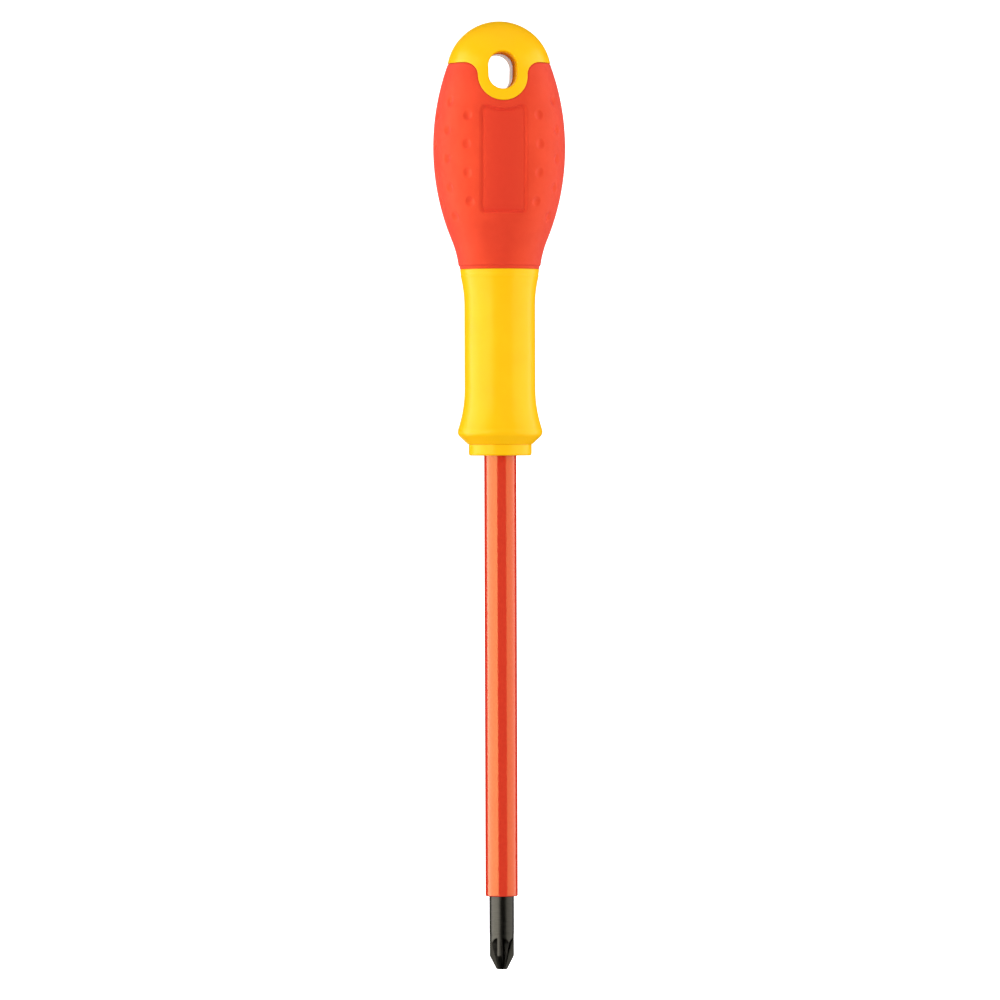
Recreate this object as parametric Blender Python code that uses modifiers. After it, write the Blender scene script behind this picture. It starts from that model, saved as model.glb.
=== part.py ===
"""Insulated screwdriver: a cross-ribbed steel blade, its insulating sleeve and a moulded handle.

The blade's winged tang and the sleeve's upper end are held by a hard inner core, which ends below
in the collar. A hard shell is moulded round the core: it shows as the flare, the neck and the domed
head with its hanging eyelet. A soft grip is moulded round the middle of the shell.

Frame: metres, origin at the centre of the blunt tip, +Z up the axis to the head, -Y out of the
front of the handle. Every piece keeps GAP to its neighbours.
"""

import math

import bmesh
import bpy
from mathutils import Matrix

MM = 0.001

# ---- driving dimensions ----
GAP = 0.3 * MM
OVERLAP = 1.0 * MM
OVERRUN = 7.5 * MM
CUT_REACH = 30.0 * MM

BLADE_LENGTH = 125.0 * MM
HANDLE_LENGTH = 105.7 * MM
TOTAL_LENGTH = BLADE_LENGTH + HANDLE_LENGTH
COLLAR_FACE = BLADE_LENGTH

BAR_RADIUS = 3.0 * MM
BAR_TOP = 196.0 * MM
BAR_CHAMFER = 0.6 * MM

TIP_RADIUS = 2.95 * MM
TIP_RELIEF_TOP = 9.0 * MM
TIP_END_RADIUS = 1.27 * MM
TIP_CORNER = 0.2 * MM
TIP_CONE_HALF_ANGLE = math.radians(27.0)
TIP_TURN = math.radians(-14.0)
TIP_WING_THICKNESS = 1.2 * MM
TIP_WING_TOP = 12.0 * MM
RIB_CREST_AT_END = 1.1 * MM
RIB_CREST_SLOPE = 0.288
FLUTE_FLOOR_AT_END = 0.7 * MM
FLUTE_FLOOR_SLOPE = 0.2
FLUTE_RUN_OUT_LOW = 5.0 * MM
FLUTE_RUN_OUT_HIGH = 9.0 * MM
FLUTE_RUN_OUT_RADIUS = 4.5 * MM

TANG_WING_SPAN = 10.4 * MM
TANG_WING_THICKNESS = 2.6 * MM
TANG_WING_LOW = 176.0 * MM
TANG_WING_HIGH = 190.0 * MM
TANG_WING_RUN = 3.0 * MM

SLEEVE_RADIUS = 3.93 * MM
SLEEVE_LOW = 17.8 * MM
SLEEVE_HIGH = 165.0 * MM
SLEEVE_EDGE = 0.3 * MM
SLEEVE_BEAD_RADIUS = 4.7 * MM
SLEEVE_BEAD_MIDDLES = (146.0 * MM, 156.0 * MM)
SLEEVE_BEAD_HALF_WIDTH = 1.5 * MM

COLLAR_RADIUS = 7.69 * MM
COLLAR_HEIGHT = 2.7 * MM
COLLAR_EDGE = 0.5 * MM
CORE_STEM_RADIUS = 6.3 * MM
CORE_BULB_RADIUS = 8.0 * MM
CORE_BULB_LOW = 172.0 * MM
CORE_BULB_RISE = 8.0 * MM
CORE_TOP = 201.0 * MM
CORE_TOP_CHAMFER = 1.5 * MM
CORE_KEY_RADIUS = 9.4 * MM
CORE_KEY_WIDTH = 2.4 * MM
CORE_KEY_LOW = 182.0 * MM
CORE_KEY_HIGH = 197.0 * MM
CORE_KEYS = 4

NECK_RADIUS = 8.63 * MM
NECK_BLEND_RADIUS = 30.0 * MM
NECK_LOW = 141.3 * MM
NECK_HIGH = 161.4 * MM
FLARE_RADIUS = 10.33 * MM
FLARE_HEIGHT = 130.8 * MM
FLARE_RIM = 1.7 * MM
FLARE_RIM_TOP = 16.0
FLARE_CONE_ANGLE = 47.2
FLARE_BLEND_RADIUS = 31.0 * MM
FLARE_BLEND_LOW = 131.7 * MM
LAND_RADIUS = 9.62 * MM
LAND_LOW = 168.5 * MM
LAND_HIGH = 170.05 * MM

BULGE_RADIUS = 16.09 * MM
BULGE_HEIGHT = 199.9 * MM
BULGE_ARC = 58.9 * MM
GRIP_LOW = LAND_HIGH + GAP
GRIP_RIM_RADIUS = 9.62 * MM
GRIP_RIM_HIGH = 170.6 * MM
GRIP_CHAMFER_HIGH = 171.3 * MM
GRIP_BLEND_TOP = 177.5 * MM
GRIP_BLEND_ARC = 25.0 * MM

SEAT_RADIUS = 13.0 * MM
SEAT_ARC = 98.0 * MM
SEAT_LOW = 168.0 * MM
SEAT_HIGH = 223.5 * MM
SEAT_KEY_RADIUS = 13.8 * MM
SEAT_KEY_WIDTH = 3.0 * MM
SEAT_KEY_LOW = 191.0 * MM
SEAT_KEY_HIGH = 209.0 * MM
SEAT_KEYS = 6

SEAM_HEIGHT = 220.35 * MM
HEAD_LOW = 208.9 * MM
DOME_RADIUS = 12.75 * MM
DOME_CENTRE = TOTAL_LENGTH - DOME_RADIUS
RING_RADIUS = 6.1 * MM
RING_CENTRE = 217.0 * MM
SHOULDER_FILLET = 3.2 * MM

EYELET_RADIUS = 3.45 * MM
EYELET_LOW_CENTRE = 217.25 * MM
EYELET_HIGH_CENTRE = 219.35 * MM

PANEL_HALF_WIDTH = 5.4 * MM
PANEL_LOW = 183.8 * MM
PANEL_CORNER = 1.2 * MM
PANEL_TOP_ARC = 7.8 * MM
PANEL_HORN_ANGLE = 15.0
PANEL_DEPTH = 0.35 * MM

DIMPLE_SIDES = 7
DIMPLE_RADIUS = 1.3 * MM
DIMPLE_DEPTH = 0.3 * MM
DIMPLE_PITCH = 7.0 * MM
DIMPLE_COLUMN_STEP = math.radians(22.5)
DIMPLE_COLUMNS_PER_SIDE = 6
DIMPLE_MIDDLE = 196.9 * MM

# ---- facets ----
FINE_STEPS = 48
BAR_STEPS = 32
DOME_STEPS = 9
BULGE_STEPS = 12
HEAD_SIDE_STEPS = 5
SEAT_STEPS = 7
LAND_BLEND_STEPS = 4
FLARE_BLEND_STEPS = 5
FLARE_RIM_STEPS = 4
GRIP_BLEND_STEPS = 3
RING_STEPS = 16
FILLET_STEPS = 5
EYELET_STEPS = 10
PANEL_TOP_STEPS = 8
PANEL_CORNER_STEPS = 3
RUN_OUT_STEPS = 5
SHARP_ANGLE = math.radians(35.0)
MERGE_DISTANCE = 0.00001
WELD_DISTANCE = 0.000001

# ---- colours, linear ----
STEEL = (0.12, 0.11, 0.10)
SLEEVE_RED = (0.62, 0.05, 0.025)
YELLOW = (0.95, 0.55, 0.02)
GRIP_RED = (0.80, 0.07, 0.03)

COLLECTION_NAME = "insulated_screwdriver"
CUTTER_COLLECTION_NAME = "cutters"


# ---- scene helpers ----
def clear_scene():
    for item in list(bpy.data.objects):
        bpy.data.objects.remove(item, do_unlink=True)


def make_collection(name):
    group = bpy.data.collections.new(name)
    bpy.context.scene.collection.children.link(group)
    return group


def make_material(name, colour, roughness, metallic=0.0):
    material = bpy.data.materials.new(name)
    material.use_nodes = True
    shader = material.node_tree.nodes["Principled BSDF"]
    shader.inputs["Base Color"].default_value = (*colour, 1.0)
    shader.inputs["Roughness"].default_value = roughness
    shader.inputs["Metallic"].default_value = metallic
    material.diffuse_color = (*colour, 1.0)
    return material


def add_object(name, mesh):
    item = bpy.data.objects.new(name, mesh)
    CUTTERS.objects.link(item)
    item.hide_render = True
    item.display_type = "WIRE"
    return item


def finish_piece(item, material):
    """Move a finished form out of the cutters, into the object's own collection."""
    CUTTERS.objects.unlink(item)
    PIECES.objects.link(item)
    item.hide_render = False
    item.display_type = "TEXTURED"
    item.data.materials.append(material)
    item.data.shade_smooth()
    item.data.set_sharp_from_angle(angle=SHARP_ANGLE)


def combine(target, other, operation):
    modifier = target.modifiers.new(operation.lower(), "BOOLEAN")
    modifier.operation = operation
    modifier.object = other


# ---- outline helpers: points are (radius, height) or (x, height) ----
def arc(centre, radius, start, end, steps):
    """Points along an arc, both ends included; angles in degrees."""
    points = []
    for step in range(steps + 1):
        angle = math.radians(start + (end - start) * step / steps)
        points.append((centre[0] + radius * math.cos(angle), centre[1] + radius * math.sin(angle)))
    return points


def arc_between(centre, radius, side, low, high, steps):
    """Arc points from height high down to height low, on the +x or -x side of its centre."""
    points = []
    for step in range(steps + 1):
        height = high + (low - high) * step / steps
        reach = math.sqrt(radius ** 2 - (height - centre[1]) ** 2)
        points.append((centre[0] + side * reach, height))
    return points


# ---- solid helpers ----
def turned(name, profile, steps):
    """A profile, run down its outer side from the axis to the axis, turned about Z."""
    mesh = bpy.data.meshes.new(name)
    corners = [(radius, 0.0, height) for radius, height in profile]
    mesh.from_pydata(corners, [(i, i + 1) for i in range(len(corners) - 1)], [])
    item = add_object(name, mesh)
    screw = item.modifiers.new("turn", "SCREW")
    screw.axis = "Z"
    screw.steps = steps
    screw.render_steps = steps
    screw.use_merge_vertices = True
    screw.merge_threshold = MERGE_DISTANCE
    return item


def prism(name, outline, half_depth):
    """A flat outline in the XZ plane, thickened to half_depth each way along Y."""
    curve = bpy.data.curves.new(name, "CURVE")
    curve.dimensions = "2D"
    curve.fill_mode = "BOTH"
    curve.extrude = half_depth
    spline = curve.splines.new("POLY")
    spline.points.add(len(outline) - 1)
    for point, (x, height) in zip(spline.points, outline):
        point.co = (x, height, 0.0, 1.0)
    spline.use_cyclic_u = True
    source = bpy.data.objects.new(name + "_curve", curve)
    CUTTERS.objects.link(source)
    source.rotation_euler.x = math.pi / 2
    bpy.context.view_layer.update()
    mesh = bpy.data.meshes.new_from_object(source.evaluated_get(bpy.context.evaluated_depsgraph_get()))
    form = bmesh.new()
    form.from_mesh(mesh)
    bmesh.ops.remove_doubles(form, verts=form.verts, dist=WELD_DISTANCE)
    form.to_mesh(mesh)
    form.free()
    item = add_object(name, mesh)
    item.matrix_world = source.matrix_world
    bpy.data.objects.remove(source)
    return item


def box(name, size, centre, turn=0.0):
    mesh = bpy.data.meshes.new(name)
    form = bmesh.new()
    bmesh.ops.create_cube(form, size=1.0)
    bmesh.ops.scale(form, vec=size, verts=form.verts)
    form.to_mesh(mesh)
    form.free()
    item = add_object(name, mesh)
    item.location = centre
    item.rotation_euler.z = turn
    return item


def add_keys(target, count, radius, width, low, high, first_turn):
    """Union bars across the whole diameter, so that an even number of keys stands out of target."""
    for index in range(count // 2):
        turn = first_turn + index * 2 * math.pi / count
        bar = box(
            f"{target.name}_keys_{index}",
            (2 * radius, width, high - low),
            (0.0, 0.0, (low + high) / 2),
            turn,
        )
        combine(target, bar, "UNION")


# ---- blade ----
def tang_wings(grow):
    """The two wings pressed out of the bar's upper end, with sloping run-outs."""
    reach = TANG_WING_SPAN / 2 + grow
    low = TANG_WING_LOW - grow
    high = TANG_WING_HIGH + grow
    outline = [
        (-reach, low + TANG_WING_RUN),
        (0.0, low - TANG_WING_RUN),
        (reach, low + TANG_WING_RUN),
        (reach, high - TANG_WING_RUN),
        (0.0, high + TANG_WING_RUN / 2),
        (-reach, high - TANG_WING_RUN),
    ]
    return prism(f"tang_wings_{grow / MM:.1f}", outline, TANG_WING_THICKNESS / 2 + grow)


def flute_section(height):
    """Rib crest radius and flute floor radius at a height; the floor curves outward in its run-out."""
    crest = RIB_CREST_AT_END + height * RIB_CREST_SLOPE
    rise = max(height - FLUTE_RUN_OUT_LOW, 0.0)
    floor = FLUTE_FLOOR_AT_END + height * FLUTE_FLOOR_SLOPE + rise ** 2 / (2 * FLUTE_RUN_OUT_RADIUS)
    return crest, floor


def tip_form():
    """Four flat wings with a sharp rib between each pair; above the flutes it passes the bar."""
    sections = [(-OVERLAP, *flute_section(-OVERLAP))]
    for step in range(RUN_OUT_STEPS + 1):
        height = FLUTE_RUN_OUT_LOW + (FLUTE_RUN_OUT_HIGH - FLUTE_RUN_OUT_LOW) * step / RUN_OUT_STEPS
        sections.append((height, *flute_section(height)))
    sections.append((BAR_TOP + OVERLAP, 3 * BAR_RADIUS, 3 * BAR_RADIUS))
    form = bmesh.new()
    rings = []
    for height, crest, floor in sections:
        ring = []
        for corner in range(8):
            angle = corner * math.pi / 4
            radius = crest if corner % 2 else floor
            ring.append(form.verts.new((radius * math.cos(angle), radius * math.sin(angle), height)))
        rings.append(ring)
    for lower, upper in zip(rings, rings[1:]):
        for corner in range(8):
            after = (corner + 1) % 8
            form.faces.new((lower[corner], lower[after], upper[after], upper[corner]))
    form.faces.new(reversed(rings[0]))
    form.faces.new(rings[-1])
    mesh = bpy.data.meshes.new("tip_form")
    form.to_mesh(mesh)
    form.free()
    item = add_object("tip_form", mesh)
    item.rotation_euler.z = TIP_TURN
    span = 4 * BAR_RADIUS
    middle = (0.0, 0.0, TIP_WING_TOP / 2 - OVERLAP)
    for index in range(2):
        size = (span, TIP_WING_THICKNESS, TIP_WING_TOP)
        wing = box(f"tip_wing_{index}", size, middle, TIP_TURN + index * math.pi / 2)
        combine(item, wing, "UNION")
    return item


def blade_form(name, grow):
    """The plain bar with its tang wings, before the flutes are cut."""
    cone_foot = TIP_END_RADIUS + grow
    cone_height = (TIP_RADIUS - TIP_END_RADIUS) / math.tan(TIP_CONE_HALF_ANGLE)
    profile = [
        (0.0, BAR_TOP + grow),
        (BAR_RADIUS - BAR_CHAMFER + grow, BAR_TOP + grow),
        (BAR_RADIUS + grow, BAR_TOP - BAR_CHAMFER + grow),
        (BAR_RADIUS + grow, TIP_RELIEF_TOP),
        (TIP_RADIUS + grow, TIP_RELIEF_TOP - BAR_CHAMFER),
        (TIP_RADIUS + grow, cone_height - grow),
        (cone_foot, TIP_CORNER - grow),
        (cone_foot - TIP_CORNER, -grow),
        (0.0, -grow),
    ]
    item = turned(name, profile, BAR_STEPS)
    combine(item, tang_wings(grow), "UNION")
    return item


def make_blade():
    blade = blade_form("blade", 0.0)
    combine(blade, tip_form(), "INTERSECT")
    finish_piece(blade, make_material("blade_steel", STEEL, 0.35, 1.0))


# ---- blade sleeve ----
def sleeve_form(name, grow):
    radius = SLEEVE_RADIUS + grow
    edge = SLEEVE_EDGE
    bead_radius = SLEEVE_BEAD_RADIUS + grow
    bead_foot = SLEEVE_BEAD_HALF_WIDTH + grow
    bead_crest = bead_foot - (SLEEVE_BEAD_RADIUS - SLEEVE_RADIUS)
    top = SLEEVE_HIGH + grow
    foot = SLEEVE_LOW - grow
    profile = [(0.0, top), (radius - edge, top), (radius, top - edge)]
    for middle in reversed(SLEEVE_BEAD_MIDDLES):
        profile += [
            (radius, middle + bead_foot),
            (bead_radius, middle + bead_crest),
            (bead_radius, middle - bead_crest),
            (radius, middle - bead_foot),
        ]
    profile += [(radius, foot + edge), (radius - edge, foot), (0.0, foot)]
    return turned(name, profile, BAR_STEPS)


def make_sleeve():
    sleeve = sleeve_form("blade_sleeve", 0.0)
    radius = BAR_RADIUS + GAP
    low = SLEEVE_LOW - OVERRUN
    high = SLEEVE_HIGH + OVERRUN
    bore = turned("sleeve_bore", [(0.0, high), (radius, high), (radius, low), (0.0, low)], BAR_STEPS)
    combine(sleeve, bore, "DIFFERENCE")
    finish_piece(sleeve, make_material("sleeve_red", SLEEVE_RED, 0.3))


# ---- inner core with the collar ----
def core_body(name, profile_foot, grow):
    """The stem and the keyed bulb on top of whatever foot the profile ends in."""
    top = CORE_TOP + grow
    bulb = CORE_BULB_RADIUS + grow
    profile = [
        (0.0, top),
        (bulb - CORE_TOP_CHAMFER, top),
        (bulb, top - CORE_TOP_CHAMFER),
        (bulb, CORE_BULB_LOW + CORE_BULB_RISE),
        (CORE_STEM_RADIUS + grow, CORE_BULB_LOW),
    ]
    item = turned(name, profile + profile_foot, BAR_STEPS)
    key_radius = CORE_KEY_RADIUS + grow
    key_width = CORE_KEY_WIDTH + 2 * grow
    first_turn = math.pi / CORE_KEYS
    add_keys(item, CORE_KEYS, key_radius, key_width, CORE_KEY_LOW - grow, CORE_KEY_HIGH + grow, first_turn)
    return item


def core_space():
    """The room that the shell leaves round the core, open at its foot."""
    foot = COLLAR_FACE - GAP
    radius = CORE_STEM_RADIUS + GAP
    return core_body("core_space", [(radius, foot), (0.0, foot)], GAP)


def make_core():
    collar = [
        (CORE_STEM_RADIUS, COLLAR_FACE + COLLAR_HEIGHT),
        (COLLAR_RADIUS, COLLAR_FACE + COLLAR_HEIGHT),
        (COLLAR_RADIUS, COLLAR_FACE + COLLAR_EDGE),
        (COLLAR_RADIUS - COLLAR_EDGE, COLLAR_FACE),
        (0.0, COLLAR_FACE),
    ]
    core = core_body("handle_core", collar, 0.0)
    combine(core, sleeve_form("sleeve_space", GAP), "DIFFERENCE")
    combine(core, blade_form("blade_space", GAP), "DIFFERENCE")
    finish_piece(core, make_material("core_yellow", YELLOW, 0.38))


# ---- outer shape that the shell's head and the grip share ----
def bulge_centre():
    return (BULGE_RADIUS - BULGE_ARC, BULGE_HEIGHT)


def dome_points(grow, low):
    """The dome's side from its crown down to height low."""
    radius = DOME_RADIUS + grow
    end = math.degrees(math.asin((low - DOME_CENTRE) / radius))
    return arc((0.0, DOME_CENTRE), radius, 90.0, end, DOME_STEPS)


def bulge_points(grow, low, high, steps):
    return arc_between(bulge_centre(), BULGE_ARC + grow, 1, low, high, steps)


def head_outline(grow):
    """Front outline of the head: level shoulders, a fillet each side and the ring round the eyelet."""
    shoulder = SEAM_HEIGHT - grow
    fillet = SHOULDER_FILLET - grow
    fillet_height = SEAM_HEIGHT - SHOULDER_FILLET
    fillet_x = RING_RADIUS + SHOULDER_FILLET
    top = TOTAL_LENGTH + OVERRUN
    outline = [(-CUT_REACH, top), (-CUT_REACH, shoulder)]
    outline += arc((-fillet_x, fillet_height), fillet, 90.0, 0.0, FILLET_STEPS)
    outline += arc((0.0, RING_CENTRE), RING_RADIUS + grow, 180.0, 360.0, RING_STEPS)
    outline += arc((fillet_x, fillet_height), fillet, 180.0, 90.0, FILLET_STEPS)
    outline += [(CUT_REACH, shoulder), (CUT_REACH, top)]
    return outline


def head_form(name, grow):
    """The dome and the ring that reaches down into the grip, front and back."""
    profile = dome_points(grow, SEAM_HEIGHT)
    profile += bulge_points(grow, HEAD_LOW, SEAM_HEIGHT, HEAD_SIDE_STEPS)[1:]
    profile.append((0.0, HEAD_LOW))
    head = turned(name, profile, FINE_STEPS)
    combine(head, prism(name + "_outline", head_outline(grow), CUT_REACH), "INTERSECT")
    return head


def seat_form(name, grow):
    """What lies under the grip, and the head that bounds it above."""
    centre = (SEAT_RADIUS - SEAT_ARC, BULGE_HEIGHT)
    profile = [(0.0, SEAT_HIGH)]
    profile += arc_between(centre, SEAT_ARC + grow, 1, SEAT_LOW, SEAT_HIGH, SEAT_STEPS)
    profile.append((0.0, SEAT_LOW))
    item = turned(name, profile, FINE_STEPS)
    key_radius = SEAT_KEY_RADIUS + grow
    key_width = SEAT_KEY_WIDTH + 2 * grow
    add_keys(item, SEAT_KEYS, key_radius, key_width, SEAT_KEY_LOW - grow, SEAT_KEY_HIGH + grow, 0.0)
    combine(item, head_form(name + "_head", grow), "UNION")
    return item


# ---- hard shell ----
def lower_body_form():
    """Flare, neck and the land that the grip's lower end stops against."""
    low = COLLAR_FACE + COLLAR_HEIGHT + GAP
    land_blend = (NECK_RADIUS + NECK_BLEND_RADIUS, NECK_HIGH)
    flare_blend = (NECK_RADIUS + FLARE_BLEND_RADIUS, NECK_LOW)
    rim_centre = (FLARE_RADIUS - FLARE_RIM, FLARE_HEIGHT)
    profile = [(0.0, LAND_HIGH), (LAND_RADIUS, LAND_HIGH)]
    profile += arc_between(land_blend, NECK_BLEND_RADIUS, -1, NECK_HIGH, LAND_LOW, LAND_BLEND_STEPS)
    profile += arc_between(
        flare_blend, FLARE_BLEND_RADIUS, -1, FLARE_BLEND_LOW, NECK_LOW, FLARE_BLEND_STEPS
    )
    profile += arc(rim_centre, FLARE_RIM, FLARE_RIM_TOP, -FLARE_CONE_ANGLE, FLARE_RIM_STEPS)
    cone_radius, cone_top = profile[-1]
    cone_foot = cone_radius - (cone_top - low) * math.tan(math.radians(FLARE_CONE_ANGLE))
    profile += [(cone_foot, low), (0.0, low)]
    return turned("handle_shell", profile, FINE_STEPS)


def eyelet_outline():
    outline = arc((0.0, EYELET_HIGH_CENTRE), EYELET_RADIUS, 0.0, 180.0, EYELET_STEPS)
    outline += arc((0.0, EYELET_LOW_CENTRE), EYELET_RADIUS, 180.0, 360.0, EYELET_STEPS)
    return outline


def make_shell():
    shell = lower_body_form()
    combine(shell, seat_form("seat", 0.0), "UNION")
    combine(shell, core_space(), "DIFFERENCE")
    combine(shell, prism("eyelet", eyelet_outline(), CUT_REACH), "DIFFERENCE")
    finish_piece(shell, make_material("shell_yellow", YELLOW, 0.38))


# ---- soft grip ----
def grip_profile(shrink):
    """The grip's outer side as one solid of revolution, taken in by shrink."""
    high = SEAM_HEIGHT + OVERLAP
    bulge_x, bulge_z = bulge_centre()
    angle = math.asin((bulge_z - GRIP_BLEND_TOP) / BULGE_ARC)
    span = BULGE_ARC + GRIP_BLEND_ARC
    blend = (bulge_x + span * math.cos(angle), bulge_z - span * math.sin(angle))
    profile = [(0.0, high)]
    profile += bulge_points(-shrink, GRIP_BLEND_TOP, high, BULGE_STEPS)
    hollow = GRIP_BLEND_ARC + shrink
    profile += arc_between(
        blend, hollow, -1, GRIP_CHAMFER_HIGH, GRIP_BLEND_TOP, GRIP_BLEND_STEPS
    )[1:]
    rim = GRIP_RIM_RADIUS - shrink
    profile += [(rim, GRIP_RIM_HIGH), (rim, GRIP_LOW), (0.0, GRIP_LOW)]
    return profile


def panel_outline():
    """The label recess: square below, hollowed above to follow the eyelet's ring."""
    half = PANEL_HALF_WIDTH
    corner = PANEL_CORNER
    side_top = RING_CENTRE - math.sqrt(PANEL_TOP_ARC ** 2 - half ** 2) - corner
    reach = math.degrees(math.asin((half - corner) / PANEL_TOP_ARC))
    horn = 90.0 - PANEL_HORN_ANGLE
    steps = PANEL_CORNER_STEPS
    outline = arc((half - corner, PANEL_LOW + corner), corner, -90.0, 0.0, steps)
    outline += arc((half - corner, side_top), corner, 0.0, horn, steps)
    outline += arc((0.0, RING_CENTRE), PANEL_TOP_ARC, 270.0 + reach, 270.0 - reach, PANEL_TOP_STEPS)
    outline += arc((corner - half, side_top), corner, 180.0 - horn, 180.0, steps)
    outline += arc((corner - half, PANEL_LOW + corner), corner, 180.0, 270.0, steps)
    return outline


def panel_cutter():
    cutter = prism("panel", panel_outline(), CUT_REACH)
    floor = turned("panel_floor", grip_profile(PANEL_DEPTH), FINE_STEPS)
    combine(cutter, floor, "DIFFERENCE")
    return cutter


def dimple_places():
    """Azimuth from the front and height of each dimple: columns either side, every other one offset."""
    for column in range(DIMPLE_COLUMNS_PER_SIDE):
        azimuth = DIMPLE_COLUMN_STEP * (1.5 + column)
        offset = column % 2
        count = 4 + offset
        for row in range(count):
            height = DIMPLE_MIDDLE + DIMPLE_PITCH * (row - (count - 1) / 2)
            for side in (-1, 1):
                yield side * azimuth, height


def dimple_cutter():
    form = bmesh.new()
    bulge_x, bulge_z = bulge_centre()
    for azimuth, height in dimple_places():
        tilt = math.asin((height - bulge_z) / BULGE_ARC)
        radius = bulge_x + BULGE_ARC * math.cos(tilt)
        made = bmesh.ops.create_cone(
            form,
            cap_ends=True,
            segments=DIMPLE_SIDES,
            radius1=DIMPLE_RADIUS / 2,
            radius2=DIMPLE_RADIUS * 1.5,
            depth=2 * DIMPLE_DEPTH,
        )
        corners = made["verts"]
        bmesh.ops.rotate(form, verts=corners, matrix=Matrix.Rotation(math.pi / 2 - tilt, 3, "Y"))
        bmesh.ops.translate(form, verts=corners, vec=(radius, 0.0, height))
        bmesh.ops.rotate(form, verts=corners, matrix=Matrix.Rotation(azimuth - math.pi / 2, 3, "Z"))
    mesh = bpy.data.meshes.new("dimples")
    form.to_mesh(mesh)
    form.free()
    return add_object("dimples", mesh)


def make_grip():
    grip = turned("grip", grip_profile(0.0), FINE_STEPS)
    combine(grip, seat_form("grip_space", GAP), "DIFFERENCE")
    combine(grip, panel_cutter(), "DIFFERENCE")
    combine(grip, dimple_cutter(), "DIFFERENCE")
    finish_piece(grip, make_material("grip_red", GRIP_RED, 0.55))


clear_scene()
PIECES = make_collection(COLLECTION_NAME)
CUTTERS = make_collection(CUTTER_COLLECTION_NAME)
make_blade()
make_sleeve()
make_core()
make_shell()
make_grip()
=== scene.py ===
"""Looks of the insulated screwdriver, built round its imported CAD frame."""

import math

import bmesh
import bpy
import numpy as np
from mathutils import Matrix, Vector


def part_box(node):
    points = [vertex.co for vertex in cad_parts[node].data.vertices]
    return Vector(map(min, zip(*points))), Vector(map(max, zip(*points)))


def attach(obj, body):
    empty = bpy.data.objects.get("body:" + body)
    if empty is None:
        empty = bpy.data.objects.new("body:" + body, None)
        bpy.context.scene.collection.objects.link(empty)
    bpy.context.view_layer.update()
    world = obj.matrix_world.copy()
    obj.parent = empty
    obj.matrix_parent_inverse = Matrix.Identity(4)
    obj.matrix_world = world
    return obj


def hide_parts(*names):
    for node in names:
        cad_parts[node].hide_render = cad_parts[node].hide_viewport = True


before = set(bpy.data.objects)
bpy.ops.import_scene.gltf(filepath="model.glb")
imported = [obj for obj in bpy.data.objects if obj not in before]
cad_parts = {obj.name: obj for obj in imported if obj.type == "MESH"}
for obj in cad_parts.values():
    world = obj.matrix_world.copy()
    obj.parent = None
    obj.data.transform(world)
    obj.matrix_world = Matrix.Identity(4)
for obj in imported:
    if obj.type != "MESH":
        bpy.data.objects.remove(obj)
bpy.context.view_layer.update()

MM = 0.001

# ---- places read from the frame ----
BLADE_LOW, BLADE_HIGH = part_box("blade")
SLEEVE_LOW, SLEEVE_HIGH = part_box("blade_sleeve")
CORE_LOW, CORE_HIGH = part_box("handle_core")
SHELL_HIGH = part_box("handle_shell")[1]
GRIP_LOW, GRIP_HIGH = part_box("grip")

TOP = SHELL_HIGH.z
MIDDLE = (BLADE_LOW.z + TOP) / 2
COLLAR_FACE = CORE_LOW.z
BULGE_RADIUS = GRIP_HIGH.x

# ---- sizes of the visible pieces, close to those of the CAD ----
BULGE_HEIGHT = 199.9 * MM
BULGE_ARC = 58.9 * MM
GRIP_END = GRIP_LOW.z
GRIP_RIM_RADIUS = 9.72 * MM
GRIP_STEP_HIGH = 171.35 * MM
GRIP_STEP_LOW = 171.0 * MM
GRIP_RIM_EDGE = 0.12 * MM
GRIP_RIM_TAPER = 0.08 * MM
GRIP_FOOT_WALL = 1.1 * MM
GRIP_BLEND_TOP = 177.5 * MM
GRIP_BLEND_ARC = 25.0 * MM

SEAM_HEIGHT = 220.35 * MM
DOME_RADIUS = 12.75 * MM
DOME_EQUATOR = TOP - DOME_RADIUS
RING_RADIUS = 6.1 * MM
RING_CENTRE = 217.0 * MM
SHOULDER_FILLET = 3.2 * MM
HEAD_SEAM_BLEND = 0.25 * MM
DOME_ALONE = 3.0 * MM
EYELET_RADIUS = 3.4 * MM
EYELET_MIDDLE = 218.3 * MM
EYELET_HALF_STRAIGHT = 1.1 * MM
EYELET_EDGE = 0.45 * MM
EYELET_EDGE_DEPTH = 1.4 * MM
EYELET_WAIST = 0.05 * MM
EYELET_WALL_REACH = 11.3 * MM
# roughness added on the back half of the eyelet's wall, and on its front half
POLISHED = -0.16
TEXTURED = 0.5

PANEL_HALF_WIDTH = 5.9 * MM
PANEL_LOW = 183.55 * MM
PANEL_CORNER = 1.35 * MM
PANEL_TOP_ARC = 7.8 * MM
PANEL_DEPTH = 0.45 * MM
PANEL_BEVEL = 0.75 * MM
PANEL_HORN = 2.8 * MM
PANEL_GROOVE_DEPTH = 0.2 * MM
PANEL_GROOVE_PLACE = 0.55 * MM
PANEL_GROOVE_WIDTH = 0.38 * MM
PANEL_CLEARANCE = 2.0 * MM

DIMPLE_RADIUS = 1.35 * MM
DIMPLE_DEPTH = 0.4 * MM
DIMPLE_PITCH = 7.0 * MM
DIMPLE_MIDDLE = 196.9 * MM
DIMPLE_COLUMN_STEP = math.radians(22.5)
DIMPLE_COLUMNS_PER_SIDE = 6
DIMPLE_FIRST_COLUMN = 1.5
DIMPLES_IN_SHORT_COLUMN = 4
DIMPLE_ROUNDNESS = 1.4

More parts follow.
